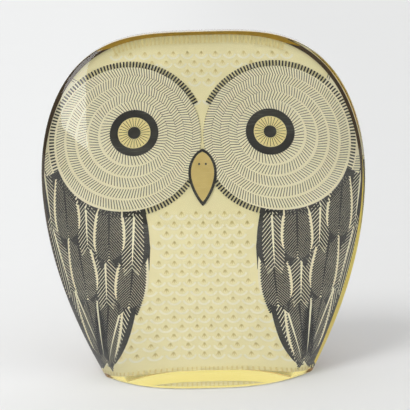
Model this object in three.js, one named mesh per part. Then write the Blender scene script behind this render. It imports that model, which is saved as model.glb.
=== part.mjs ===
// Owl block: one cushion-shaped block of clear amber resin, cut flat below so that it stands on its edge.
// Its front is a full dome and its back a gentler one, and they meet in a narrow upright band of edge.
// Millimetres. +Z is up, the front faces -Y, and the origin is on the base under the middle of the block.
import * as THREE from "three";
import { mergeVertices } from "three/addons/utils/BufferGeometryUtils.js";

// The outline, as seen from the front
const height = 145.4;
const halfWidth = 67.8;
const widestHeight = 84.6;
const baseHalfWidth = 43.9;
const baseCornerRadius = 2;
const crownPower = 3.45; // 2 would be an ellipse, and more is squarer
const flankPower = 1.9; // 1 would be a straight flank, and more bends it later

// The depths, from front to back
const frontDepth = 26.4;
const edgeDepth = 9;
const backDepth = 16;
const fullDepthHeight = 53.4; // below this height the domes keep their full depth
const frontPower = 2.89;
const frontCrownPower = 1.07;
const backPower = 2.5;
const backCrownPower = 2;
const backEdgePower = 2;
const edgeSoftness = 0.6; // how far the front dome rolls over into the edge band
const frontBaseRadius = 1;
const backBaseRadius = 0.3;

// How finely the block is faceted
const crownStations = 24;
const flankStations = 14;
const cornerStations = 3;
const baseStations = 8;
const frontRings = 12;
const backRings = 8;
const roundingRings = 2;
const ringCentreHeight = 80;

const edgeFrontY = frontDepth - (frontDepth + edgeDepth + backDepth) / 2;
const edgeBackY = edgeFrontY + edgeDepth;
const quarterTurn = Math.PI / 2;

// Half the block's width at a height above the base.
function halfWidthAt(z) {
  if (z >= widestHeight) {
    const rise = Math.min((z - widestHeight) / (height - widestHeight), 1);
    return halfWidth * (1 - rise ** 2) ** (1 / crownPower);
  }
  const drop = (widestHeight - z) / widestHeight;
  return halfWidth - (halfWidth - baseHalfWidth) * drop ** flankPower;
}

// A dome's depth over a point of the outline's plane: full over the middle, and nothing at the outline.
function domeDepth(x, z, full, sidePower, crownDepthPower, edgePower) {
  const across = Math.min(Math.abs(x) / Math.max(halfWidthAt(z), 1e-6), 1);
  const rise = THREE.MathUtils.clamp((z - fullDepthHeight) / (height - fullDepthHeight), 0, 1);
  const ridge = full * (1 - rise ** 2) ** (1 / crownDepthPower);
  return ridge * (1 - across ** sidePower) ** (1 / edgePower);
}

function frontDome(x, z) {
  const full = Math.hypot(edgeSoftness, frontDepth + edgeSoftness) - edgeSoftness;
  const depth = domeDepth(x, z, full, frontPower, frontCrownPower, 1);
  return Math.sqrt(depth ** 2 + 2 * edgeSoftness * depth) - edgeSoftness;
}

function backDome(x, z) {
  return domeDepth(x, z, backDepth, backPower, backCrownPower, backEdgePower);
}

// The right half of the outline, from the top of the crown round to the middle of the base.
function halfOutline() {
  const points = [];
  for (let i = 0; i < crownStations; i++) {
    const turn = (i / crownStations) ** 1.25 * quarterTurn;
    const x = halfWidth * Math.sin(turn) ** (2 / crownPower);
    points.push([x, widestHeight + (height - widestHeight) * Math.cos(turn)]);
  }
  const lean = ((halfWidth - baseHalfWidth) * flankPower) / widestHeight;
  const leanAngle = Math.atan(lean);
  const cornerX = baseHalfWidth + lean * baseCornerRadius - baseCornerRadius / Math.cos(leanAngle);
  const cornerTopZ = baseCornerRadius * (1 - Math.sin(leanAngle));
  for (let i = 0; i < flankStations; i++) {
    const z = widestHeight + (cornerTopZ - widestHeight) * (i / flankStations);
    points.push([halfWidthAt(z), z]);
  }
  for (let i = 0; i < cornerStations; i++) {
    const turn = leanAngle + (quarterTurn - leanAngle) * (i / cornerStations);
    const x = cornerX + baseCornerRadius * Math.cos(turn);
    points.push([x, baseCornerRadius * (1 - Math.sin(turn))]);
  }
  for (let i = 0; i <= baseStations; i++) {
    const x = cornerX * Math.cos((i / baseStations) * quarterTurn);
    points.push([i === baseStations ? 0 : x, 0]);
  }
  return points;
}

// The whole outline with, at each station, the direction that points into the block.
function outlineStations() {
  const right = halfOutline();
  const left = right.slice(1, -1).reverse().map(([x, z]) => [-x, z]);
  const loop = [...right, ...left];
  return loop.map(([x, z], i) => {
    const [nextX, nextZ] = loop[(i + 1) % loop.length];
    const [lastX, lastZ] = loop[(i + loop.length - 1) % loop.length];
    const length = Math.hypot(nextX - lastX, nextZ - lastZ);
    return { x, z, inX: (nextZ - lastZ) / length, inZ: (lastX - nextX) / length };
  });
}

// One face of the block as rings, from its middle out to the edge band.
// toward is -1 for the front and 1 for the back, and baseRadius rounds the edge over the base.
function faceRings(stations, dome, planeY, toward, ringCount, baseRadius) {
  const rims = stations.map(({ x, z, inX, inZ }) => {
    const overhang = Math.max(dome(x, z), 0);
    const radius = baseRadius * (1 - Math.exp(-overhang / (2 * baseRadius)));
    const rimX = x + inX * radius;
    const rimZ = z + inZ * radius;
    return { x, z, inX, inZ, radius, rimX, rimZ, depth: dome(rimX, rimZ) };
  });
  const rings = [];
  for (let i = 1; i <= ringCount; i++) {
    const reach = Math.sin((i / ringCount) * quarterTurn);
    rings.push(rims.map((rim) => {
      const x = rim.rimX * reach;
      const z = ringCentreHeight + (rim.rimZ - ringCentreHeight) * reach;
      return [x, planeY + toward * dome(x, z), z];
    }));
  }
  for (let i = 1; i <= roundingRings; i++) {
    const turn = (i / roundingRings) * quarterTurn;
    rings.push(rims.map((rim) => {
      const inset = rim.radius * (1 - Math.sin(turn));
      const back = rim.radius * (1 - Math.cos(turn));
      return [rim.x + rim.inX * inset, planeY + toward * (rim.depth - back), rim.z + rim.inZ * inset];
    }));
  }
  return rings;
}

// Rings of equal length, closed by a point at each end, as one surface that faces out.
// The strip between the last front ring and the first back one is the edge band, and below it the flat base.
function skin(firstPoint, rings, lastPoint) {
  const count = rings[0].length;
  const positions = [firstPoint, ...rings.flat(), lastPoint].flat();
  const last = 1 + rings.length * count;
  const at = (ring, station) => 1 + ring * count + (station % count);
  const triangles = [];
  for (let k = 0; k < count; k++) {
    triangles.push(0, at(0, k + 1), at(0, k));
    for (let ring = 0; ring + 1 < rings.length; ring++) {
      triangles.push(at(ring, k), at(ring + 1, k + 1), at(ring + 1, k));
      triangles.push(at(ring, k), at(ring, k + 1), at(ring + 1, k + 1));
    }
    triangles.push(last, at(rings.length - 1, k), at(rings.length - 1, k + 1));
  }
  const geometry = new THREE.BufferGeometry();
  geometry.setAttribute("position", new THREE.Float32BufferAttribute(positions, 3));
  geometry.setIndex(triangles);
  return geometry;
}

function blockGeometry() {
  const stations = outlineStations();
  const front = faceRings(stations, frontDome, edgeFrontY, -1, frontRings, frontBaseRadius);
  const back = faceRings(stations, backDome, edgeBackY, 1, backRings, backBaseRadius);
  const frontMiddle = [0, edgeFrontY - frontDome(0, ringCentreHeight), ringCentreHeight];
  const backMiddle = [0, edgeBackY + backDome(0, ringCentreHeight), ringCentreHeight];
  const geometry = mergeVertices(skin(frontMiddle, [...front, ...back.reverse()], backMiddle));
  geometry.computeVertexNormals();
  return geometry;
}

const amberResin = new THREE.MeshStandardMaterial({
  color: "#e0cf8c",
  roughness: 0.04,
  metalness: 0,
  transparent: true,
  opacity: 0.6,
});

const owlBlock = new THREE.Mesh(blockGeometry(), amberResin);
owlBlock.name = "owl_block";

const owl = new THREE.Group();
owl.add(owlBlock);

export default owl;
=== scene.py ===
# Owl ornament: a cushion-shaped block of clear resin with an owl inlay sealed inside it, on a pale table.
import math
import bpy
import bmesh
from mathutils import Matrix, Vector


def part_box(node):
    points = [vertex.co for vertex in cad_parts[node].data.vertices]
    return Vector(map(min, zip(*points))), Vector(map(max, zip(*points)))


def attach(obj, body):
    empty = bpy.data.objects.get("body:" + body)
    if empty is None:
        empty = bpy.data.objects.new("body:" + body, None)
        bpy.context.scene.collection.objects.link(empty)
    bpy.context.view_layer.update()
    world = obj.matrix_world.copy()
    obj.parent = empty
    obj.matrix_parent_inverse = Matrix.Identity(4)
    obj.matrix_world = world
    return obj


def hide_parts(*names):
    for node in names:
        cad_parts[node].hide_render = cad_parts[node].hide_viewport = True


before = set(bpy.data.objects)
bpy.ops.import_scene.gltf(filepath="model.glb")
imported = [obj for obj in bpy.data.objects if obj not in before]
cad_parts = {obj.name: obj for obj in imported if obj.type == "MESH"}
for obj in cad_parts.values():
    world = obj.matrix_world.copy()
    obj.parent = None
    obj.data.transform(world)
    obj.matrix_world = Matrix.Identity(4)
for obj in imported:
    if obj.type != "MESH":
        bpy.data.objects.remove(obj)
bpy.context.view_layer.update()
low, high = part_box("owl_block")
mm = 0.001
quarterTurn = math.pi / 2
print("frame loaded:", [round(v / mm, 1) for v in high - low], "mm")


# The block, as the solid has it, cut much finer

blockShape = {
    "height": high.z,
    "halfWidth": high.x,
    "widestHeight": 84.6 * mm,
    "baseHalfWidth": 43.9 * mm,
    "baseCornerRadius": 2 * mm,
    "crownPower": 3.45,  # 2 would be an ellipse, and more is squarer
    "flankPower": 1.9,  # 1 would be a straight flank, and more bends it later
    "edgeDepth": 9 * mm,
    "edgeSoftness": 0.6 * mm,  # how far the front dome rolls over into the edge band
    "fullDepthHeight": 53.4 * mm,  # below this height the domes keep their full depth
    "ringCentreHeight": 80 * mm,
    "crownStations": 90,
    "crownCrowding": 1.25,  # over 1 gathers the stations at the top
    "flankStations": 56,
    "cornerStations": 6,
    "baseStations": 40,
    "rimHold": 4,  # the higher, the nearer the rim the rings take up the outline's own spacing
    "roundingRings": 4,
    "bandRings": 5,
    "slopeStep": 0.02 * mm,
    "weld": 0.002 * mm,
}
frontDome = {
    "toward": -1,
    "depth": 26.4 * mm,
    "sidePower": 2.89,
    "crownPower": 1.07,
    "edgePower": 1,
    "soft": True,
    "baseRadius": 1 * mm,
    "rings": 56,
}
backDome = {
    "toward": 1,
    "depth": 16 * mm,
    "sidePower": 2.5,
    "crownPower": 2,
    "edgePower": 2,
    "soft": False,
    "baseRadius": 0.3 * mm,
    "rings": 44,
}
edgeFrontY = frontDome["depth"] - (frontDome["depth"] + blockShape["edgeDepth"] + backDome["depth"]) / 2
edgeBackY = edgeFrontY + blockShape["edgeDepth"]
noNormal = Vector((0, 0, 0))  # left to Blender to work out


def halfWidthAt(z):
    s = blockShape
    if z >= s["widestHeight"]:
        rise = min((z - s["widestHeight"]) / (s["height"] - s["widestHeight"]), 1)
        return s["halfWidth"] * (1 - rise**2) ** (1 / s["crownPower"])
    drop = (s["widestHeight"] - z) / s["widestHeight"]
    return s["halfWidth"] - (s["halfWidth"] - s["baseHalfWidth"]) * drop ** s["flankPower"]


def domeDepth(dome, x, z):
    s = blockShape
    soft = s["edgeSoftness"]
    full = math.hypot(soft, dome["depth"] + soft) - soft if dome["soft"] else dome["depth"]
    across = min(abs(x) / max(halfWidthAt(z), 1e-9), 1)
    rise = min(max((z - s["fullDepthHeight"]) / (s["height"] - s["fullDepthHeight"]), 0), 1)
    ridge = full * (1 - rise**2) ** (1 / dome["crownPower"])
    depth = ridge * (1 - across ** dome["sidePower"]) ** (1 / dome["edgePower"])
    return math.sqrt(depth**2 + 2 * soft * depth) - soft if dome["soft"] else depth


def domeNormal(dome, x, z):
    # the slope by small differences, so that the resin bends light smoothly
    step = blockShape["slopeStep"]
    slopeX = (domeDepth(dome, x + step, z) - domeDepth(dome, x - step, z)) / (2 * step)
    slopeZ = (domeDepth(dome, x, z + step) - domeDepth(dome, x, z - step)) / (2 * step)
    return Vector((-slopeX, dome["toward"], -slopeZ)).normalized()


def halfOutline():
    # the right half, from the top of the crown round to the middle of the base
    s = blockShape
    points = []
    for i in range(s["crownStations"]):
        turn = (i / s["crownStations"]) ** s["crownCrowding"] * quarterTurn
        z = s["widestHeight"] + (s["height"] - s["widestHeight"]) * math.cos(turn)
        points.append((s["halfWidth"] * math.sin(turn) ** (2 / s["crownPower"]), z))
    lean = (s["halfWidth"] - s["baseHalfWidth"]) * s["flankPower"] / s["widestHeight"]
    leanAngle = math.atan(lean)
    radius = s["baseCornerRadius"]
    cornerX = s["baseHalfWidth"] + lean * radius - radius / math.cos(leanAngle)
    cornerTopZ = radius * (1 - math.sin(leanAngle))
    for i in range(s["flankStations"]):
        z = s["widestHeight"] + (cornerTopZ - s["widestHeight"]) * i / s["flankStations"]
        points.append((halfWidthAt(z), z))
    for i in range(s["cornerStations"]):
        turn = leanAngle + (quarterTurn - leanAngle) * i / s["cornerStations"]
        points.append((cornerX + radius * math.cos(turn), radius * (1 - math.sin(turn))))
    for i in range(s["baseStations"]):
        points.append((cornerX * math.cos(i / s["baseStations"] * quarterTurn), 0.0))
    return points + [(0.0, 0.0)]


def withNext(loop):
    # each item of a closed loop with the one after it
    return zip(loop, loop[1:] + loop[:1])


def between(first, second, share):
    return tuple(a + (b - a) * share for a, b in zip(first, second))


def fullOutline():
    right = halfOutline()
    return right + [(-x, z) for x, z in right[-2:0:-1]]


def inwardSteps(loop):
    # at each point of the outline, the direction that points into the block
    steps = []
    for i in range(len(loop)):
        (x0, z0), (x1, z1) = loop[i - 1], loop[(i + 1) % len(loop)]
        length = math.hypot(x1 - x0, z1 - z0)
        steps.append(((z1 - z0) / length, (x0 - x1) / length))
    return steps


def spreadAlong(loop, held):
    # the loop's own points where held is 1, and evenly spaced ones where it is 0
    lengths = [0.0]
    for (x0, z0), (x1, z1) in withNext(loop):
        lengths.append(lengths[-1] + math.hypot(x1 - x0, z1 - z0))
    points, k = [], 0
    for i in range(len(loop)):
        wanted = held * lengths[i] + (1 - held) * lengths[-1] * i / len(loop)
        while lengths[k + 1] < wanted:
            k += 1
        share = (wanted - lengths[k]) / (lengths[k + 1] - lengths[k])
        points.append(between(loop[k], loop[(k + 1) % len(loop)], share))
    return points


def faceRings(dome, planeY):
    # one face of the block as rings from its middle out to the edge band, each with its normals
    s = blockShape
    loop = fullOutline()
    rims, rimLoop = [], []
    for (x, z), (inX, inZ) in zip(loop, inwardSteps(loop)):
        overhang = max(domeDepth(dome, x, z), 0)
        radius = dome["baseRadius"] * (1 - math.exp(-overhang / (2 * dome["baseRadius"])))
        rimX, rimZ = x + inX * radius, z + inZ * radius
        rimLoop.append((rimX, rimZ))
        rims.append((x, z, inX, inZ, radius, domeDepth(dome, rimX, rimZ)))
    rings, normals = [], []
    for i in range(1, dome["rings"] + 1):
        reach = math.sin(i / dome["rings"] * quarterTurn)
        ring, slopes = [], []
        for rimX, rimZ in spreadAlong(rimLoop, reach ** s["rimHold"]):
            x = rimX * reach
            z = s["ringCentreHeight"] + (rimZ - s["ringCentreHeight"]) * reach
            ring.append((x, planeY + dome["toward"] * domeDepth(dome, x, z), z))
            slopes.append(domeNormal(dome, x, z) if i < dome["rings"] else noNormal)
        rings.append(ring)
        normals.append(slopes)
    for i in range(1, s["roundingRings"] + 1):
        turn = i / s["roundingRings"] * quarterTurn
        ring = []
        for x, z, inX, inZ, radius, depth in rims:
            inset = radius * (1 - math.sin(turn))
            sunk = radius * (1 - math.cos(turn))
            ring.append((x + inX * inset, planeY + dome["toward"] * (depth - sunk), z + inZ * inset))
        rings.append(ring)
        normals.append([noNormal] * len(ring))
    return rings, normals


def weldedMesh(mesh, directions):
    # joins the rings that fall together along the rim, and keeps the domes' own normals
    work = bmesh.new()
    work.from_mesh(mesh)
    held = [work.verts.layers.float.new(axis) for axis in "xyz"]
    for vertex, direction in zip(work.verts, directions):
        for layer, value in zip(held, direction):
            vertex[layer] = value
    bmesh.ops.remove_doubles(work, verts=work.verts, dist=blockShape["weld"])
    bmesh.ops.recalc_face_normals(work, faces=work.faces)
    kept = [Vector([vertex[layer] for layer in held]) for vertex in work.verts]
    for layer in list(work.verts.layers.float.values()):
        work.verts.layers.float.remove(layer)
    work.to_mesh(mesh)
    work.free()
    mesh.shade_smooth()
    mesh.normals_split_custom_set_from_vertices(kept)
    return mesh


def blockMesh(name):
    s = blockShape
    frontRings, frontNormals = faceRings(frontDome, edgeFrontY)
    backRings, backNormals = faceRings(backDome, edgeBackY)
    band = []
    for i in range(1, s["bandRings"]):
        share = i / s["bandRings"]
        pairs = zip(frontRings[-1], backRings[-1])
        band.append([(x, y + (after[1] - y) * share, z) for (x, y, z), after in pairs])
    count = len(band[0])
    rings = frontRings + band + backRings[::-1]
    normals = frontNormals + [[noNormal] * count] * len(band) + backNormals[::-1]
    centreZ = s["ringCentreHeight"]
    points = [(0, edgeFrontY - domeDepth(frontDome, 0, centreZ), centreZ)]
    points += [point for ring in rings for point in ring]
    points.append((0, edgeBackY + domeDepth(backDome, 0, centreZ), centreZ))
    directions = [domeNormal(frontDome, 0, centreZ)]
    directions += [normal for ring in normals for normal in ring]
    directions.append(domeNormal(backDome, 0, centreZ))
    last = len(points) - 1
    faces = []
    for k in range(count):
        after = (k + 1) % count
        faces.append((0, 1 + after, 1 + k))
        for r in range(len(rings) - 1):
            here, there = 1 + r * count, 1 + (r + 1) * count
            faces.append((here + k, here + after, there + after, there + k))
        final = 1 + (len(rings) - 1) * count
        faces.append((last, final + k, final + after))
    mesh = bpy.data.meshes.new(name)
    mesh.from_pydata(points, [], faces)
    return weldedMesh(mesh, directions)


def addPiece(name, mesh, material):
    piece = bpy.data.objects.new(name, mesh)
    bpy.context.scene.collection.objects.link(piece)
    mesh.materials.clear()
    mesh.materials.append(material)
    return piece


# Node trees, for the materials and for the strokes of the inlay


def setInputs(tree, node, inputs):
    # each input gets a link from a socket or from a node's first output, or else a plain value;
    # a colour is given without its alpha
    for key, value in inputs.items():
        socket = node.inputs[key]
        if isinstance(value, bpy.types.Node):
            value = value.outputs[0]
        if isinstance(value, bpy.types.NodeSocket):
            tree.links.new(value, socket)
        else:
            socket.default_value = (*value, 1) if socket.type == "RGBA" else value


def addNode(tree, kind, inputs=None, **settings):
    node = tree.nodes.new(kind)
    for setting, value in settings.items():
        setattr(node, setting, value)
    setInputs(tree, node, inputs or {})
    return node


def addMath(tree, operation, *values):
    return addNode(tree, "ShaderNodeMath", dict(enumerate(values)), operation=operation)


def blendColours(tree, factor, first, second):
    # a colour mix takes its colours at the sockets 6 and 7 and gives the result at 2
    blend = addNode(tree, "ShaderNodeMix", {0: factor, 6: first, 7: second}, data_type="RGBA")
    return blend.outputs[2]


def smoothRamp(tree, value, least, most, low=0, high=1):
    levels = {"Value": value, "From Min": least, "From Max": most, "To Min": low, "To Max": high}
    return addNode(tree, "ShaderNodeMapRange", levels, interpolation_type="SMOOTHSTEP")


def newTree(name, kind, inputs, outputName, outputKind):
    # a tree of its own, with the sockets of its inputs and the node that it ends in
    tree = bpy.data.node_groups.new(name, kind)
    tree.interface.new_socket(outputName, in_out="OUTPUT", socket_type="NodeSocket" + outputKind)
    for socket, socketKind in inputs.items():
        tree.interface.new_socket(socket, in_out="INPUT", socket_type="NodeSocket" + socketKind)
    return tree, tree.nodes.new("NodeGroupInput").outputs, tree.nodes.new("NodeGroupOutput")


# Materials

clearResin = {"name": "clear resin", "ior": 1.52, "tint": (0.99, 0.97, 0.85), "density": 8}
amberResin = {"name": "amber resin", "ior": 1, "tint": (0.99, 0.91, 0.36), "density": 120}


def newMaterial(name):
    material = bpy.data.materials.new(name)
    material.use_nodes = True
    return material, material.node_tree, material.node_tree.nodes["Principled BSDF"]


def resinMaterial(resin):
    # see-through, with a tint that deepens the further light goes through it
    material, tree, shader = newMaterial(resin["name"])
    plain = {"Base Color": (1, 1, 1), "Roughness": 0, "IOR": resin["ior"], "Transmission Weight": 1}
    setInputs(tree, shader, plain)
    tint = addNode(tree, "ShaderNodeVolumeAbsorption", {"Color": resin["tint"], "Density": resin["density"]})
    setInputs(tree, tree.nodes["Material Output"], {"Volume": tint})
    return material


def levelledNoise(tree, place, scale, detail, least, most):
    # a noise whose values between two levels are spread over the full range
    noise = addNode(tree, "ShaderNodeTexNoise", {"Vector": place, "Scale": scale, "Detail": detail})
    return addNode(tree, "ShaderNodeMapRange", {"Value": noise, "From Min": least, "From Max": most})


mottleLook = {"grainDetail": 4, "cloudDetail": 2, "least": 0.32, "most": 0.68}


def mottleGroup():
    # two near colours mottled by a fine grain and a slow cloud
    m = mottleLook
    inputs = {"Colour": "Color", "Shade": "Color", "Grain": "Float", "Cloud": "Float"}
    group, given, end = newTree("soft mottle", "ShaderNodeTree", inputs, "Mottled", "Color")
    place = addNode(group, "ShaderNodeTexCoord").outputs["Object"]
    grain = levelledNoise(group, place, given["Grain"], m["grainDetail"], m["least"], m["most"])
    cloud = levelledNoise(group, place, given["Cloud"], m["cloudDetail"], m["least"], m["most"])
    half = addMath(group, "MULTIPLY", addMath(group, "ADD", grain, cloud), 0.5)
    setInputs(group, end, {0: blendColours(group, half, given["Colour"], given["Shade"])})
    return group


# the noise that draws the lines, and the one that gathers them in patches
scratchLook = {
    "lines": {"tilt": 0.10, "stretch": (0.12, 1, 5), "size": 4, "least": 0.56, "most": 0.66},
    "patches": {"tilt": 0, "stretch": (1, 1, 1.6), "size": 0.3, "least": 0.45, "most": 0.62},
    "detail": 3,
    "haze": 0.15,
}


def scratchGroup():
    # a mask of thin scratches that run nearly level, in loose patches with a little haze of their own
    inputs = {"Scale": "Float", "Amount": "Float"}
    group, given, end = newTree("fine scratches", "ShaderNodeTree", inputs, "Mask", "Float")
    place = addNode(group, "ShaderNodeTexCoord").outputs["Object"]
    masks = []
    for look in (scratchLook["lines"], scratchLook["patches"]):
        turned = {"Vector": place, "Rotation": (0, look["tilt"], 0), "Scale": look["stretch"]}
        lay = addNode(group, "ShaderNodeMapping", turned)
        scale = addMath(group, "MULTIPLY", given["Scale"], look["size"])
        masks.append(levelledNoise(group, lay, scale, scratchLook["detail"], look["least"], look["most"]))
    lines, patches = masks
    haze = addMath(group, "MULTIPLY", patches, scratchLook["haze"])
    marks = addMath(group, "MULTIPLY_ADD", lines, patches, haze)
    setInputs(group, end, {0: addMath(group, "MULTIPLY", marks, given["Amount"])})
    return group


mottle = mottleGroup()
scratches = scratchGroup()
printFinish = {"grain": 260, "cloud": 45, "scratchScale": 220, "roughness": 0.55}


def mottled(tree, colour, shade, grain, cloud):
    values = {"Colour": colour, "Shade": shade, "Grain": grain, "Cloud": cloud}
    return addNode(tree, "ShaderNodeGroup", values, node_tree=mottle)


def printMaterial(name, colour, shade, worn, wear):
    # printed or cut film: a mottled colour, hazed and scratched towards a paler one
    p = printFinish
    material, tree, shader = newMaterial(name)
    printed = mottled(tree, colour, shade, p["grain"], p["cloud"])
    scratching = {"Scale": p["scratchScale"], "Amount": wear}
    marks = addNode(tree, "ShaderNodeGroup", scratching, node_tree=scratches)
    colours = blendColours(tree, marks, printed, worn)
    setInputs(tree, shader, {"Base Color": colours, "Roughness": p["roughness"]})
    return material


# each print, and each painted rim shade and painted glow: its name, its colour, its shade, the paler one that
# shows where it is worn, and how worn it is
prints = {
    "ground": ("pale yellow ground", (0.985, 0.915, 0.56), (0.975, 0.90, 0.53), (0.99, 0.94, 0.66), 0.3),
    "cream": ("cream print", (0.99, 0.955, 0.74), (0.98, 0.945, 0.71), (0.99, 0.97, 0.80), 0.3),
    "face": ("grey cream print", (0.96, 0.91, 0.68), (0.94, 0.885, 0.64), (0.98, 0.95, 0.78), 0.3),
    "tan": ("tan print", (0.90, 0.79, 0.38), (0.87, 0.75, 0.34), (0.95, 0.88, 0.55), 0.3),
    "horn": ("horn brown print", (0.74, 0.58, 0.22), (0.64, 0.48, 0.16), (0.84, 0.72, 0.36), 0.3),
    # the golden brown, dark brown and gold edge colours are painted rim shade and glow, not print: dark brown
    # and golden brown stand in for the dark amber shade seen in the rim, and gold for the glow of light
    # passing through the block low down; golden brown also prints the scallops on the sheet's back
    "brown": ("golden brown edge print", (0.48, 0.29, 0.01), (0.40, 0.23, 0.01), (0.60, 0.40, 0.06), 0.3),
    "dark": ("dark brown edge print", (0.060, 0.032, 0.006), (0.045, 0.024, 0.005), (0.14, 0.09, 0.03), 0.3),
    "gold": ("gold edge print", (0.98, 0.80, 0.11), (0.95, 0.72, 0.08), (0.99, 0.86, 0.24), 0.3),
    "black": ("near-black ink", (0.012, 0.012, 0.010), (0.030, 0.029, 0.025), (0.30, 0.30, 0.26), 0.32),
}
inks = {key: printMaterial(*look) for key, look in prints.items()}

block = addPiece("clear_block", blockMesh("clear_block"), resinMaterial(clearResin))
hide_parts("owl_block")
print("block:", len(block.data.polygons), "faces")


# The inlay's sheet, and the deeper amber behind it

inlayPlace = {
    "behindEdge": 8.2 * mm,
    "turn": math.radians(-1.0),
    "sideMargin": 2.6 * mm,
    "topMargin": 2.2 * mm,
    "shift": -0.5 * mm,
    "baseGap": 2.45 * mm,
    "amberBehind": 0.5 * mm,
    "amberShrink": 0.04 * mm,
    "leastSide": 0.01 * mm,  # shorter sides of its outline are passed over where shapes are cut at it
}
inlayY = edgeFrontY + inlayPlace["behindEdge"]


def amberLayer():
    # the part of the block behind the inlay, a hair inside its surface
    mesh = block.data.copy()
    work = bmesh.new()
    work.from_mesh(mesh)
    work.normal_update()
    for vertex in work.verts:
        vertex.co -= vertex.normal * inlayPlace["amberShrink"]
    everything = list(work.verts) + list(work.edges) + list(work.faces)
    plane = (0, inlayY + inlayPlace["amberBehind"], 0)
    bmesh.ops.bisect_plane(work, geom=everything, plane_co=plane, plane_no=(0, -1, 0), clear_outer=True)
    openEdges = [edge for edge in work.edges if len(edge.link_faces) == 1]
    bmesh.ops.holes_fill(work, edges=openEdges, sides=0)
    bmesh.ops.recalc_face_normals(work, faces=work.faces)
    work.to_mesh(mesh)
    work.free()
    mesh.name = "amber_layer"
    return addPiece("amber_layer", mesh, resinMaterial(amberResin))


# The inlay has its own plane, slightly turned: x to the right and z up from the block's base line


def onInlay(x, z):
    c, s = math.cos(inlayPlace["turn"]), math.sin(inlayPlace["turn"])
    middle = high.z / 2
    return inlayPlace["shift"] + x * c - (z - middle) * s, middle + x * s + (z - middle) * c


def onSheet(x, z):
    # the other way round: the inlay's own coordinates of a point of the block
    c, s = math.cos(inlayPlace["turn"]), math.sin(inlayPlace["turn"])
    middle, x = high.z / 2, x - inlayPlace["shift"]
    return x * c + (z - middle) * s, middle - x * s + (z - middle) * c


def arc(centreX, centreZ, radius, fromTurn, toTurn, steps=64):
    # in degrees, anticlockwise from the right
    turns = [math.radians(fromTurn + (toTurn - fromTurn) * k / steps) for k in range(steps + 1)]
    return [(centreX + radius * math.cos(t), centreZ + radius * math.sin(t)) for t in turns]


def circle(centreX, centreZ, radius, steps):
    turns = [2 * math.pi * k / steps for k in range(steps)]
    return [(centreX + radius * math.cos(t), centreZ + radius * math.sin(t)) for t in turns]


def closedPiece(name, points, faces, ink):
    # a plain piece of the inlay, with its faces turned outwards
    mesh = bpy.data.meshes.new(name)
    mesh.from_pydata(points, [], faces)
    work = bmesh.new()
    work.from_mesh(mesh)
    bmesh.ops.recalc_face_normals(work, faces=work.faces)
    work.to_mesh(mesh)
    work.free()
    inlay.append(addPiece(name, mesh, inks[ink]))


def addSlab(name, outlines, before, ink, turned=True, behind=0.0):
    # flat closed slabs, one for each outline, reaching before and behind the middle of the sheet
    points, faces = [], []
    for outline in outlines:
        first, n = len(points), len(outline)
        flat = [onInlay(x, z) for x, z in outline] if turned else outline
        points += [(x, inlayY - before, z) for x, z in flat]
        points += [(x, inlayY + behind, z) for x, z in flat]
        faces.append(tuple(first + k for k in range(n)))
        faces.append(tuple(first + n + k for k in reversed(range(n))))
        for k in range(n):
            after = (k + 1) % n
            faces.append((first + k, first + n + k, first + n + after, first + after))
    closedPiece(name, points, faces, ink)


def addRings(name, centres, inner, outer, before, ink, steps=72):
    # flat closed rings, such as those round the eyes
    points, faces = [], []
    for centreX, centreZ in centres:
        first = len(points)
        for radius in (outer, inner):
            for y in (inlayY - before, inlayY):
                for x, z in circle(centreX, centreZ, radius, steps):
                    flatX, flatZ = onInlay(x, z)
                    points.append((flatX, y, flatZ))
        a, b, c, d = (first + steps * row for row in range(4))
        for k in range(steps):
            after = (k + 1) % steps
            faces.append((a + k, a + after, b + after, b + k))
            faces.append((c + k, d + k, d + after, c + after))
            faces.append((a + k, c + k, c + after, a + after))
            faces.append((b + k, b + after, d + after, d + k))
    closedPiece(name, points, faces, ink)


def addRibbons(name, ribbons, before, behind, ink):
    # flat closed strips, each given as pairs of an outer and an inner point
    points, faces = [], []
    for pairs in ribbons:
        first, last = len(points), 4 * (len(pairs) - 1)
        for outer, inner in pairs:
            for x, z in (outer, inner):
                points += [(x, inlayY - before, z), (x, inlayY + behind, z)]
        for k in range(first, first + last, 4):
            for a, b in ((0, 2), (2, 3), (3, 1), (1, 0)):
                faces.append((k + a, k + b, k + 4 + b, k + 4 + a))
        faces.append((first, first + 1, first + 3, first + 2))
        faces.append((first + last, first + last + 2, first + last + 3, first + last + 1))
    closedPiece(name, points, faces, ink)


def sheetHalfWidth(z):
    # how far the sheet reaches from its middle line at a height over the base
    rise = (z - inlayPlace["baseGap"]) / (high.z - inlayPlace["topMargin"] - inlayPlace["baseGap"])
    return halfWidthAt(rise * high.z) * (1 - inlayPlace["sideMargin"] / high.x)


def sheetOutline(inset=0.0):
    # the block's outline drawn in towards the middle
    p = inlayPlace
    narrow = 1 - (p["sideMargin"] + inset) / high.x
    lower = 1 - (p["topMargin"] + p["baseGap"] + 2 * inset) / high.z
    return [(x * narrow + p["shift"], p["baseGap"] + inset + z * lower) for x, z in fullOutline()]


def clipToSheet(outline):
    # keeps the part of an outline that lies on the sheet, whose own outline is convex
    kept = [onInlay(x, z) for x, z in outline]
    for (x0, z0), (x1, z1) in withNext(sheetOutline()):
        if math.hypot(x1 - x0, z1 - z0) < inlayPlace["leastSide"]:
            continue
        sides = [(x - x0) * (z1 - z0) - (z - z0) * (x1 - x0) for x, z in kept]
        cut = []
        for (point, after), (side, afterSide) in zip(withNext(kept), withNext(sides)):
            if side >= 0:
                cut.append(point)
            if side * afterSide < 0:
                cut.append(between(point, after, side / (side - afterSide)))
        kept = cut
    return kept


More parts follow.
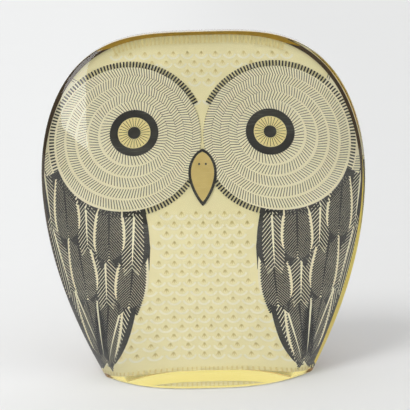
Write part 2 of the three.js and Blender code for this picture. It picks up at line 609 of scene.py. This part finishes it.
# how far each layer of the inlay stands before the middle of the sheet; no two that overlap are alike
layers = {
    "ground": 0.15 * mm,
    "scallops": 0.17 * mm,
    "whiskers": 0.19 * mm,
    "wings": 0.21 * mm,
    "feathers": 0.23 * mm,
    "step": 0.02 * mm,
    "cheeks": 0.58 * mm,
    "discs": 0.60 * mm,
    "faceStrokes": 0.62 * mm,
    "ruff": 0.64 * mm,
    "irises": 0.66 * mm,
    "irisLines": 0.68 * mm,
    "eyes": 0.70 * mm,
    "beakRim": 0.72 * mm,
    "beak": 0.74 * mm,
    "nostrils": 0.76 * mm,
    "fringe": 0.79 * mm,
    "edge": 0.82 * mm,
    "backPrint": 0.2 * mm,
}
amber = amberLayer()
inlay = []
addSlab("inlay_ground", [sheetOutline()], layers["ground"], "ground", False, layers["ground"])
ground = inlay[0]
print("amber layer and sheet:", len(amber.data.polygons) + len(ground.data.polygons), "faces")


# Strokes and small shapes along a path, by Geometry Nodes

# the ray that looks for the sheet below a stroke's tip
edgeProbe = {"startBefore": 10 * mm, "length": 50 * mm}


def spacedPoints(tree, given):
    # the paths as curves, cut into points at an even spacing
    curve = addNode(tree, "GeometryNodeMeshToCurve", {"Mesh": given["Geometry"]})
    cut = {"Curve": curve, "Length": given["spacing"]}
    return addNode(tree, "GeometryNodeResampleCurve", cut, mode="LENGTH")


def inkAndFinish(tree, given, end, geometry):
    real = addNode(tree, "GeometryNodeRealizeInstances", {0: geometry})
    inked = addNode(tree, "GeometryNodeSetMaterial", {"Geometry": real, "Material": given["ink"]})
    setInputs(tree, end, {0: inked})


def strokeTree():
    # bars that stand on a path, to its left or to both sides
    inputs = {"Geometry": "Geometry", "bothSides": "Bool", "sheet": "Object", "ink": "Material"}
    for number in ("spacing", "length", "width", "depth", "slant", "taper"):
        inputs[number] = "Float"
    tree, given, end = newTree("strokes along a path", "GeometryNodeTree", inputs, "Geometry", "Geometry")
    points = spacedPoints(tree, given)
    # where the taper is over 0 the bars are short at the path's ends and long at its middle
    along = addNode(tree, "GeometryNodeSplineParameter")
    bulge = addMath(tree, "SINE", addMath(tree, "MULTIPLY", along, math.pi))
    lost = addMath(tree, "MULTIPLY", addMath(tree, "SUBTRACT", 1, bulge), given["taper"])
    length = addMath(tree, "MULTIPLY", addMath(tree, "SUBTRACT", 1, lost), given["length"])
    size = addNode(tree, "ShaderNodeCombineXYZ", {"X": given["width"], "Y": given["depth"], "Z": length})
    reach = addNode(tree, "ShaderNodeCombineXYZ", {"Z": length})
    bar = addNode(tree, "GeometryNodeMeshCube")
    raised = addNode(tree, "GeometryNodeTransform", {"Geometry": bar, "Translation": (0, 0, 0.5)})
    tangent = {"Vector": addNode(tree, "GeometryNodeInputTangent")}
    facing = addNode(tree, "FunctionNodeAlignRotationToVector", tangent, axis="X", pivot_axis="Y")
    sheet = addNode(tree, "GeometryNodeObjectInfo", {"Object": given["sheet"]}).outputs["Geometry"]
    spot = addNode(tree, "GeometryNodeInputPosition")
    joined = addNode(tree, "GeometryNodeJoinGeometry")
    otherSlant = addMath(tree, "SUBTRACT", math.pi, given["slant"])
    for mirrored, slant in ((False, given["slant"]), (True, otherSlant)):
        swing = addNode(tree, "FunctionNodeAxisAngleToRotation", {"Axis": (0, 1, 0), "Angle": slant})
        swung = {"Rotation": facing, "Rotate By": swing}
        turned = addNode(tree, "FunctionNodeRotateRotation", swung, rotation_space="LOCAL")
        # a bar is left out where its tip would pass the edge of the sheet below it
        tip = addNode(tree, "FunctionNodeRotateVector", {"Vector": reach, "Rotation": turned})
        tipSpot = addNode(tree, "ShaderNodeVectorMath", {0: spot, 1: tip})
        before = addNode(tree, "ShaderNodeVectorMath", {0: tipSpot, 1: (0, -edgeProbe["startBefore"], 0)})
        chosen = addNode(tree, "GeometryNodeRaycast", {
            "Target Geometry": sheet,
            "Source Position": before,
            "Ray Direction": (0, 1, 0),
            "Ray Length": edgeProbe["length"],
        }).outputs["Is Hit"]
        if mirrored:
            chosen = addNode(tree, "FunctionNodeBooleanMath", {0: chosen, 1: given["bothSides"]})
        placed = addNode(tree, "GeometryNodeInstanceOnPoints", {
            "Points": points,
            "Selection": chosen,
            "Instance": raised,
            "Rotation": turned,
            "Scale": size,
        })
        setInputs(tree, joined, {0: placed})
    inkAndFinish(tree, given, end, joined)
    return tree


def motifTree():
    # one small shape, upright, repeated along a path
    inputs = {"Geometry": "Geometry", "spacing": "Float", "motif": "Object", "ink": "Material"}
    tree, given, end = newTree("motifs along a path", "GeometryNodeTree", inputs, "Geometry", "Geometry")
    motif = addNode(tree, "GeometryNodeObjectInfo", {"Object": given["motif"]}).outputs["Geometry"]
    points = spacedPoints(tree, given)
    placed = addNode(tree, "GeometryNodeInstanceOnPoints", {"Points": points, "Instance": motif})
    inkAndFinish(tree, given, end, placed)
    return tree


def grow(name, tree, paths, values, ink, y=inlayY, closed=False):
    # runs a tree on a set of paths and keeps the result as a plain mesh
    points, edges = [], []
    for path in paths:
        first = len(points)
        points += [(x, y, z) for x, z in (onInlay(*point) for point in path)]
        edges += [(first + k, first + k + 1) for k in range(len(path) - 1)]
        if closed:
            edges.append((len(points) - 1, first))
    mesh = bpy.data.meshes.new(name + " path")
    mesh.from_pydata(points, edges, [])
    host = bpy.data.objects.new(name + " path", mesh)
    bpy.context.scene.collection.objects.link(host)
    modifier = host.modifiers.new("grow", "NODES")
    modifier.node_group = tree
    sockets = {item.name: item.identifier for item in tree.interface.items_tree if item.in_out == "INPUT"}
    for socket, value in {**values, "ink": inks[ink]}.items():
        modifier[sockets[socket]] = value
    ready = host.evaluated_get(bpy.context.evaluated_depsgraph_get())
    grown = bpy.data.meshes.new_from_object(ready)
    grown.name = name
    bpy.data.objects.remove(host)
    inlay.append(addPiece(name, grown, inks[ink]))


strokes = strokeTree()
motifs = motifTree()


def bars(name, paths, before, ink, closed=False, **look):
    # the look holds their spacing, length and width, and may hold a slant, a taper and bothSides
    values = {**look, "depth": before, "sheet": ground}
    grow(name, strokes, paths, values, ink, inlayY - before / 2, closed)


# Outlines of leaves and feathers

vane = {"rootWidth": 0.62, "rounding": 0.36, "tipPower": 2.2, "steps": 16}
leafFullness = 0.8
pointedBelow = 0.001 * mm


def blade(x, z, length, heading, shares, halves):
    # an outline from its root at x, z, with half its width at each share of its length
    # heading 0 points straight down and a positive one outwards
    alongX, alongZ = math.sin(heading), -math.cos(heading)
    left, right = [], []
    for t, half in zip(shares, halves):
        midX, midZ = x + alongX * length * t, z + alongZ * length * t
        left.append((midX - alongZ * half, midZ + alongX * half))
        if half > pointedBelow:
            right.append((midX + alongZ * half, midZ - alongX * half))
    return left + right[::-1]


def leaf(x, z, length, width, heading, steps=14, blunt=0.62):
    # pointed at both ends; the lower blunt is, the nearer its root it is widest
    shares = [k / steps for k in range(steps + 1)]
    halves = [width / 2 * math.sin(math.pi * t**blunt) ** leafFullness if 0 < t < 1 else 0 for t in shares]
    return blade(x, z, length, heading, shares, halves)


def feather(x, z, length, width, heading):
    # narrow at its root and round at its tip
    v = vane
    shares = [math.sin(k / v["steps"] * quarterTurn) for k in range(v["steps"] + 1)]
    halves = []
    for t in shares:
        into = max(t - (1 - v["rounding"]), 0) / v["rounding"]
        swell = math.sin(min(t / (1 - v["rounding"]), 1) * quarterTurn)
        half = width / 2 * (v["rootWidth"] + (1 - v["rootWidth"]) * swell)
        halves.append(half * math.sqrt(max(1 - into ** v["tipPower"], 0)))
    return blade(x, z, length, heading, shares, halves)


def spine(x, z, length, heading, first, last, steps=8):
    # the path down a feather's middle, from one share of its length to another
    alongX, alongZ = math.sin(heading) * length, -math.cos(heading) * length
    shares = [first + (last - first) * k / steps for k in range(steps + 1)]
    return [(x + alongX * t, z + alongZ * t) for t in shares]


# The face

face = {
    "eyeX": 27 * mm,
    "eyeZ": 101 * mm,
    "discX": 30 * mm,
    "discZ": 99 * mm,
    "discRadius": 29.4 * mm,
    "discSteps": 96,
    "ringOuter": 9.4 * mm,
    "ringInner": 6.3 * mm,
    "irisTuck": 0.2 * mm,
    "irisSteps": 48,
    "irisLines": {"spacing": 0.62 * mm, "length": 3.4 * mm, "width": 0.2 * mm},
    "pupil": 2.5 * mm,
    "pupilGap": 0.1 * mm,
    "pupilSteps": 36,
    "rows": 5,
    "rowFill": 0.95,
    "strokes": {"spacing": 0.98 * mm, "width": 0.26 * mm},
    "slant": math.radians(20),
    "ruff": {"spacing": 1.25 * mm, "length": 2.3 * mm, "width": 0.62 * mm},
    "ruffGap": 27,  # degrees left open each side of the line between the eyes
}


def discArc(side, radius, fromTurn, toTurn):
    # part of a circle round one disc's centre, clockwise, with degrees counted from the outer side
    path = arc(face["discX"], face["discZ"], radius, fromTurn, toTurn)
    return path[::-1] if side > 0 else [(-x, z) for x, z in path]


def slantOf(row):
    # the rows of strokes lean one way and then the other
    return face["slant"] * (1 if row % 2 else -1)


def addFace():
    f = face
    discs = [circle(side * f["discX"], f["discZ"], f["discRadius"], f["discSteps"]) for side in (-1, 1)]
    addSlab("face_discs", discs, layers["discs"], "face")
    eyes = [(-f["eyeX"], f["eyeZ"]), (f["eyeX"], f["eyeZ"])]
    addRings("eye_rings", eyes, f["ringInner"], f["ringOuter"], layers["eyes"], "black")
    irises = [circle(x, z, f["ringInner"] + f["irisTuck"], f["irisSteps"]) for x, z in eyes]
    addSlab("irises", irises, layers["irises"], "tan")
    pupils = [circle(x, z, f["pupil"], f["pupilSteps"]) for x, z in eyes]
    addSlab("pupils", pupils, layers["eyes"], "black")
    rays = [circle(x, z, f["pupil"] + f["pupilGap"], f["pupilSteps"])[::-1] for x, z in eyes]
    bars("iris_lines", rays, layers["irisLines"], "black", True, **f["irisLines"])
    # rows of fine strokes, spread from the eye to the rim
    depth = f["discRadius"] - f["ringOuter"]
    length = depth / f["rows"] * f["rowFill"]
    for row in range(f["rows"]):
        share = row / f["rows"]
        centreX = f["eyeX"] + (f["discX"] - f["eyeX"]) * share
        centreZ = f["eyeZ"] + (f["discZ"] - f["eyeZ"]) * share
        radius = f["ringOuter"] + depth * share
        paths = [circle(side * centreX, centreZ, radius, f["discSteps"])[::-1] for side in (-1, 1)]
        bars("face_strokes_%d" % (row + 1), paths, layers["faceStrokes"], "black", True,
             length=length, slant=slantOf(row), **f["strokes"])
    openEnd = 180 - f["ruffGap"]
    ruffs = [discArc(side, f["discRadius"], -openEnd, openEnd) for side in (-1, 1)]
    bars("ruff", ruffs, layers["ruff"], "black", **f["ruff"])


# the field outside each disc, in degrees over the level line that runs out from the disc's centre
cheeks = {
    "fromTurn": -24,
    "toTurn": 50,
    "rows": 1,
    "rowStep": 3.6 * mm,
    "rowFill": 0.9,
    "gap": 0.6 * mm,
    "tuck": 1 * mm,
}


def addCheeks():
    c, f = cheeks, face
    turns = (c["fromTurn"], c["toTurn"])
    reach = c["rows"] * c["rowStep"] + f["ruff"]["length"]
    fields = []
    for side in (-1, 1):
        inner = discArc(side, f["discRadius"] - c["tuck"], *turns)
        outer = discArc(side, f["discRadius"] + reach, *turns)
        fields.append(clipToSheet(inner + outer[::-1]))
    addSlab("cheeks", fields, layers["cheeks"], "face", turned=False)
    for row in range(c["rows"]):
        radius = f["discRadius"] + f["ruff"]["length"] + c["gap"] + row * c["rowStep"]
        paths = [discArc(side, radius, *turns) for side in (-1, 1)]
        bars("cheek_strokes_%d" % (row + 1), paths, layers["faceStrokes"], "black",
             length=c["rowStep"] * c["rowFill"], slant=slantOf(row), **f["strokes"])


beak = {
    "topZ": 93 * mm,
    "length": 20 * mm,
    "width": 9.5 * mm,
    "blunt": 0.8,
    "steps": 24,
    "rim": 1.1 * mm,
    "rimLength": 2.6,  # the rim's extra length, in rims
    "nostrilX": 1.4 * mm,
    "nostrilDrop": 5 * mm,
    "nostrilRadius": 0.45 * mm,
    "nostrilSteps": 16,
}


def addBeak():
    k = beak
    rimLength = k["length"] + k["rimLength"] * k["rim"]
    rim = leaf(0, k["topZ"] + k["rim"], rimLength, k["width"] + 2 * k["rim"], 0, k["steps"], k["blunt"])
    horn = leaf(0, k["topZ"], k["length"], k["width"], 0, k["steps"], k["blunt"])
    nostrilZ = k["topZ"] - k["nostrilDrop"]
    nostrils = [
        circle(side * k["nostrilX"], nostrilZ, k["nostrilRadius"], k["nostrilSteps"]) for side in (-1, 1)
    ]
    addSlab("beak_rim", [rim], layers["beakRim"], "black")
    addSlab("beak", [horn], layers["beak"], "horn")
    addSlab("nostrils", nostrils, layers["nostrils"], "black")


# The breast and the crown, in rows of scallops

breast = {
    "pitch": 5.8 * mm,
    "rowStep": 3.9 * mm,
    "rows": 16,
    "lowestZ": 10 * mm,
    "halfWidth": 20 * mm,
    "spread": 0.40,  # how fast the rows widen below spreadBelow
    "spreadBelow": 44 * mm,
    "outer": 2.85 * mm,
    "inner": 2.0 * mm,
    "fromTurn": 196,
    "toTurn": 344,
    "arcSteps": 10,
    "whiskerTurns": (-28, 0, 28),
    "whiskerLength": 2 * mm,
    "whiskerWidth": 0.55 * mm,
    "whiskerRise": 0.7 * mm,
    "whiskerSteps": 4,
    "crownRows": 6,
    "crownTopZ": 134 * mm,
    "crownMargin": 4 * mm,
    "crownOverDisc": 8 * mm,
}


def growMotif(name, outlines, before, paths, ink, y=inlayY):
    # the small shape is made round the middle of an object of its own, which is then dropped
    addSlab(name + " motif", outlines, before, ink, turned=False)
    motif = inlay.pop()
    for vertex in motif.data.vertices:
        vertex.co.y -= inlayY
    motif.data.transform(Matrix.Rotation(-inlayPlace["turn"], 4, "Y"))
    grow(name, motifs, paths, {"spacing": breast["pitch"], "motif": motif}, ink, y)
    bpy.data.objects.remove(motif)


def rowPaths(rows):
    # level rows with their scallops at whole pitches from the middle, or at half ones in every other row
    pitch = breast["pitch"]
    paths = []
    for z, half, staggered in rows:
        start = pitch / 2 if staggered else 0
        reach = start + math.floor(max(half - start, 0) / pitch) * pitch
        if reach > 0:
            paths.append([(-reach, z), (reach, z)])
    return paths


def scallopRows():
    b, f = breast, face
    rows = []
    for k in range(b["rows"]):
        z = b["lowestZ"] + k * b["rowStep"]
        rows.append((z, b["halfWidth"] + max(b["spreadBelow"] - z, 0) * b["spread"], k % 2))
    ruffRadius = f["discRadius"] + f["ruff"]["length"]
    for k in range(b["crownRows"]):
        # the crown's rows end at the ruffs, and over them at the sheet's edge
        z = b["crownTopZ"] - k * b["rowStep"]
        rise = abs(z - f["discZ"]) / ruffRadius
        if rise < 1:
            half = f["discX"] - ruffRadius * math.sqrt(1 - rise**2)
        else:
            half = min(sheetHalfWidth(z) - b["crownMargin"], f["discX"] + b["crownOverDisc"])
        rows.append((z, half - b["outer"], k % 2))
    return rowPaths(rows)


def scallop():
    b = breast
    turns = (b["fromTurn"], b["toTurn"], b["arcSteps"])
    return arc(0, 0, b["outer"], *turns) + arc(0, 0, b["inner"], *turns)[::-1]


def addScallops():
    b = breast
    rows = scallopRows()
    growMotif("feather_scallops", [scallop()], layers["scallops"], rows, "cream")
    whiskers = []
    for turn in b["whiskerTurns"]:
        hair = leaf(0, 0, b["whiskerLength"], b["whiskerWidth"], math.radians(turn), b["whiskerSteps"])
        whiskers.append([(x, z + b["whiskerRise"]) for x, z in hair])
    growMotif("feather_whiskers", whiskers, layers["whiskers"], rows, "tan")


# The wings

# a wing's own outline in millimetres, and each row of feathers from the lowest: its inner and outer roots,
# how many there are, their length and width, and their headings in degrees
wing = {
    "outline": (
        (30, 76), (24, 70), (21.5, 63), (20.5, 55), (20.8, 46), (22.8, 36), (26, 26), (30.5, 15), (35.5, 7),
        (41, 2.5), (60, 2.5), (75, 45), (80, 70), (78, 91), (62, 90), (50, 84),
    ),
    "rows": (
        {"inner": (27.5 * mm, 45 * mm), "outer": (55 * mm, 49 * mm), "count": 5, "length": 40 * mm,
         "width": 11.5 * mm, "headings": (10, -24)},
        {"inner": (26 * mm, 59 * mm), "outer": (60 * mm, 64 * mm), "count": 4, "length": 29 * mm,
         "width": 12 * mm, "headings": (3, -17)},
        {"inner": (26.5 * mm, 71 * mm), "outer": (64 * mm, 88 * mm), "count": 5, "length": 25 * mm,
         "width": 12 * mm, "headings": (1, -9)},
    ),
    "barbSpacing": 1.16 * mm,
    "barbWidth": 0.63 * mm,
    "barbSlant": math.radians(52),
    "barbTaper": 0.35,
    "barbsFrom": -0.12,
    "barbsTo": 0.95,
    "quill": 0.8 * mm,
    "quillShare": 0.95,
    "quillSteps": 8,
}
# dark feathers and pale ones: how their barbs differ in spacing and width, and how far these reach
# as a share of the feather's width
featherKinds = {
    "dark": {"paint": "black", "ink": "cream", "spacing": 1.4, "barbWidth": 0.37, "reach": 0.54},
    "pale": {"paint": "face", "ink": "black", "spacing": 1, "barbWidth": 1, "reach": 0.68},
}


def featherRoots(tier, row):
    # the feathers of one row, dark and pale by turns, each as a root and a heading
    roots = {kind: [] for kind in featherKinds}
    for k in range(row["count"]):
        share = k / (row["count"] - 1)
        x, z = between(row["inner"], row["outer"], share)
        heading = row["headings"][0] + (row["headings"][1] - row["headings"][0]) * share
        kind = "dark" if (k + tier) % 2 == 0 else "pale"
        roots[kind] += [(side * x, z, side * math.radians(heading)) for side in (-1, 1)]
    return roots


def addWings():
    w, step = wing, layers["step"]
    wholes = [clipToSheet([(side * x * mm, z * mm) for x, z in w["outline"]]) for side in (-1, 1)]
    addSlab("wings", wholes, layers["wings"], "black", turned=False)
    # a row takes five layers: the dark feathers, their barbs, the pale ones, their barbs, and all the quills
    for tier, row in enumerate(w["rows"]):
        length, width = row["length"], row["width"]
        base = layers["feathers"] + 5 * tier * step
        for order, (kind, roots) in enumerate(featherRoots(tier, row).items()):
            look = featherKinds[kind]
            label = "%s_%d" % (kind, tier + 1)
            before = base + 2 * order * step
            vanes = [clipToSheet(feather(x, z, length, width, turn)) for x, z, turn in roots]
            spines = [spine(x, z, length, turn, w["barbsFrom"], w["barbsTo"]) for x, z, turn in roots]
            quills = [
                clipToSheet(leaf(x, z, length * w["quillShare"], w["quill"], turn, w["quillSteps"]))
                for x, z, turn in roots
            ]
            addSlab("feathers_" + label, vanes, before, look["paint"], turned=False)
            bars("barbs_" + label, spines, before + step, look["ink"],
                 spacing=w["barbSpacing"] * look["spacing"], width=w["barbWidth"] * look["barbWidth"],
                 length=width * look["reach"], slant=w["barbSlant"], taper=w["barbTaper"], bothSides=True)
            addSlab("quills_" + label, quills, base + 4 * step, look["ink"], turned=False)


# The painted rim shade and glow along the sheet's edge, the fringes and the sheet's back

border = {
    "edgeWidth": 1.5 * mm,
    "lowWidth": 2.5 * mm,
    "backWidth": 14 * mm,
    "inset": 0.15 * mm,
    "topZ": 139 * mm,
    "baseZ": 2.9 * mm,
    "topTaper": 3 * mm,
    # below these heights each side's edge is gold, a painted glow of light passing through the block
    "leftGoldZ": 36 * mm,
    "rightGoldZ": 92 * mm,
    "goldTaper": 66 * mm,
    "thinnest": 0.02,  # the share of its width that a tapered edge keeps at its end
    "topFringe": {"spacing": 1.7 * mm, "length": 3.4 * mm, "width": 0.8 * mm},
    "baseFringe": {"spacing": 1.7 * mm, "length": 1.5 * mm, "width": 0.5 * mm},
}


def edgePart(outer, inner, fromZ, toZ, side, taper=0.0):
    # the stretch of the sheet's edge between two heights, as pairs of an outer and an inner point, narrowing
    # to nothing over the taper: at its upper end where that is over 0, and at its lower end where it is under
    pairs = list(zip(outer, inner))
    half = len(pairs) // 2
    # the outline runs from the top down the right side, along the base and up the left side
    right, left = pairs[:half], pairs[half:]
    part = []
    for first, second in {"left": left, "right": right, "top": left + right, "base": pairs}[side]:
        if toZ >= first[1] > fromZ:
            room = toZ - first[1] if taper > 0 else first[1] - fromZ
            share = min(max(room / abs(taper), border["thinnest"]), 1) if taper else 1
            part.append((first, between(first, second, share)))
    return part


def addBorder():
    # painted rim shade and glow: a dark brown and golden brown edge, broader on the sheet's back where the
    # polished rim mirrors it, paints the shade seen in the rim, and a gold edge low down paints the glow of
    # light passing through the block
    e, step = border, layers["step"]
    insets = (e["inset"], e["edgeWidth"], e["lowWidth"], e["backWidth"])
    outer, front, frontLow, back = (sheetOutline(inset) for inset in insets)
    for name, inner, innerLow, before, behind in (
        ("edge_line", front, frontLow, layers["edge"], 0),
        ("back_band", back, back, 0, layers["backPrint"]),
    ):
        over, under = before and before + step, behind and behind + step
        dark = [edgePart(outer, inner, e["baseZ"], e["topZ"], side) for side in ("left", "right")]
        low = [
            edgePart(outer, innerLow, e["baseZ"], e[side + "GoldZ"], side, e["goldTaper"])
            for side in ("left", "right")
        ]
        top = edgePart(outer, inner, e["topZ"] - e["topTaper"], high.z, "top", -e["topTaper"])
        # painted rim shade in dark brown along the sides and golden brown along the top, and painted glow in
        # gold low down
        addRibbons(name + "_sides", dark, before, behind, "dark")
        addRibbons(name + "_top", [top], over, under, "brown")
        addRibbons(name + "_low", low, over, under, "gold")
    for name, edge, look in (
        ("fringe_top", edgePart(outer, front, e["topZ"], high.z, "top"), e["topFringe"]),
        ("fringe_base", edgePart(outer, outer, 0, e["baseZ"], "base"), e["baseFringe"]),
    ):
        path = [onSheet(*pair[1]) for pair in edge]
        bars(name, [path], layers["fringe"], "tan", slant=math.pi, **look)


def addBack():
    # rows of plain scallops over the whole back of the sheet
    b, e = breast, border
    rows = []
    for k in range(int((e["topZ"] - b["lowestZ"]) / b["rowStep"]) + 1):
        z = b["lowestZ"] + k * b["rowStep"]
        rows.append((z, sheetHalfWidth(z) - e["backWidth"] + b["pitch"], k % 2))
    # they reach out of the sheet's back by less than the band round it
    y = inlayY + layers["ground"] + layers["step"]
    growMotif("back_scallops", [scallop()], layers["backPrint"] / 2, rowPaths(rows), "brown", y)


addScallops()
addWings()
print("breast and wings:", len(inlay), "pieces")
addCheeks()
addFace()
addBeak()
print("face and beak:", len(inlay), "pieces")
addBorder()
addBack()
print("inlay:", len(inlay), "pieces,", sum(len(piece.data.polygons) for piece in inlay), "faces")


# The table, the light and the camera

tableTop = {
    "size": 12,
    "gap": 0.15 * mm,
    # the table is painted lighter on the left and darker on the right, a painted falloff of the light, which
    # comes from the left
    "leftPaintedLitColour": (0.752, 0.755, 0.752),
    "rightPaintedShadeColour": (0.683, 0.685, 0.681),
    "changeover": 0.12,  # how far each side of the middle the colours blend
    "shade": 0.992,
    "grain": 60,
    "cloud": 7,
    "roughness": 0.9,
}


def addTable():
    t = tableTop
    bpy.ops.mesh.primitive_plane_add(size=t["size"], location=(0, 0, -t["gap"]))
    table = bpy.context.object
    table.name = "table"
    material, tree, shader = newMaterial("pale table")
    sides = []
    for colour in (t["leftPaintedLitColour"], t["rightPaintedShadeColour"]):
        shade = tuple(part * t["shade"] for part in colour)
        sides.append(mottled(tree, colour, shade, t["grain"], t["cloud"]))
    place = addNode(tree, "ShaderNodeTexCoord").outputs["Object"]
    x = addNode(tree, "ShaderNodeSeparateXYZ", {0: place}).outputs["X"]
    # the painted light falloff: the lit left colour blends into the shaded right one across the middle
    across = smoothRamp(tree, x, -t["changeover"], t["changeover"])
    setInputs(tree, shader, {"Base Color": blendColours(tree, across, *sides), "Roughness": t["roughness"]})
    table.data.materials.append(material)


# the world is brighter behind the block than behind the camera, and a camera sees it even past the table
studio = {
    "colour": (0.98, 0.99, 1),
    "front": 0.14,
    "back": 0.95,
    "seen": 0.82,
    "rampFrom": 0.05,
    "rampTo": 0.65,
}


def addWorld():
    s = studio
    world = bpy.data.worlds.new("studio")
    bpy.context.scene.world = world
    world.use_nodes = True
    tree = world.node_tree
    direction = addNode(tree, "ShaderNodeTexCoord").outputs["Generated"]
    y = addNode(tree, "ShaderNodeSeparateXYZ", {0: direction}).outputs["Y"]
    ramp = smoothRamp(tree, y, s["rampFrom"], s["rampTo"], s["front"], s["back"])
    camera = addNode(tree, "ShaderNodeLightPath").outputs["Is Camera Ray"]
    strength = addNode(tree, "ShaderNodeMix", {"Factor": camera, "A": ramp, "B": s["seen"]})
    setInputs(tree, tree.nodes["Background"], {"Color": s["colour"], "Strength": strength})


# the two wide lamps light the room but don't mirror in the resin, as behind a diffusing tent
wideLamps = {
    "large soft lamp": {"strength": 1.3, "spread": 22, "azimuth": -31, "elevation": 48},
    "tent fill": {"strength": 3.0, "spread": 160, "azimuth": -15, "elevation": 18},
}
sidePanel = {"azimuth": -62, "elevation": 33, "distance": 1.3, "size": (0.40, 0.95), "power": 5}


def aimLamp(lamp, azimuth, elevation, distance=2):
    # at a distance from the block's middle, facing it; azimuth 0 is the front and a positive one the right
    azimuth, elevation = math.radians(azimuth), math.radians(elevation)
    holder = bpy.data.objects.new(lamp.name, lamp)
    bpy.context.scene.collection.objects.link(holder)
    spread = distance * math.cos(elevation)
    place = Vector((spread * math.sin(azimuth), -spread * math.cos(azimuth), distance * math.sin(elevation)))
    holder.location = Vector((0, 0, high.z / 2)) + place
    holder.rotation_euler = (-place).to_track_quat("-Z", "Y").to_euler()
    return holder


def addLamps():
    for name, look in wideLamps.items():
        lamp = bpy.data.lights.new(name, "SUN")
        lamp.energy = look["strength"]
        lamp.angle = math.radians(look["spread"])
        aimLamp(lamp, look["azimuth"], look["elevation"]).visible_glossy = False
    p = sidePanel
    panel = bpy.data.lights.new("side panel", "AREA")
    panel.shape = "RECTANGLE"
    panel.size, panel.size_y = p["size"]
    panel.energy = p["power"]
    holder = aimLamp(panel, p["azimuth"], p["elevation"], p["distance"])
    holder.visible_diffuse = False
    holder.visible_transmission = False


cameraPlace = {
    "frame": 410,
    "elevation": math.radians(9.24),
    "azimuth": math.radians(0.07),
    "roll": math.radians(1.62),
    "distance": 0.9,
    "aimHeight": 75 * mm,
    "pixelsPerMetre": 2385,
    "shiftX": 0.95,
    "shiftZ": -5.71,
    "sensorWidth": 36,
}


def addCamera():
    c = cameraPlace
    ce, se = math.cos(c["elevation"]), math.sin(c["elevation"])
    ca, sa = math.cos(c["azimuth"]), math.sin(c["azimuth"])
    cr, sr = math.cos(c["roll"]), math.sin(c["roll"])
    back = Vector((sa * ce, -ca * ce, se))
    right = Vector((ca, sa, 0))
    up = back.cross(right)
    turn = Matrix((right * cr - up * sr, right * sr + up * cr, back)).transposed()
    data = bpy.data.cameras.new("camera")
    camera = bpy.data.objects.new("camera", data)
    bpy.context.scene.collection.objects.link(camera)
    camera.rotation_mode = "QUATERNION"
    camera.rotation_quaternion = turn.to_quaternion()
    camera.location = Vector((0, edgeFrontY, c["aimHeight"])) + back * c["distance"]
    data.sensor_width = c["sensorWidth"]
    data.lens = c["pixelsPerMetre"] * c["distance"] * c["sensorWidth"] / c["frame"]
    data.shift_x = c["shiftX"] / c["frame"]
    data.shift_y = c["shiftZ"] / c["frame"]
    bpy.context.scene.camera = camera


addTable()
addWorld()
addLamps()
addCamera()
scene = bpy.context.scene
scene.view_settings.view_transform = "Standard"
scene.cycles.max_bounces = 16
scene.cycles.transmission_bounces = 16
scene.cycles.use_denoising = True
print("table, light and camera set")

for piece in [block, amber] + inlay:
    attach(piece, "root")
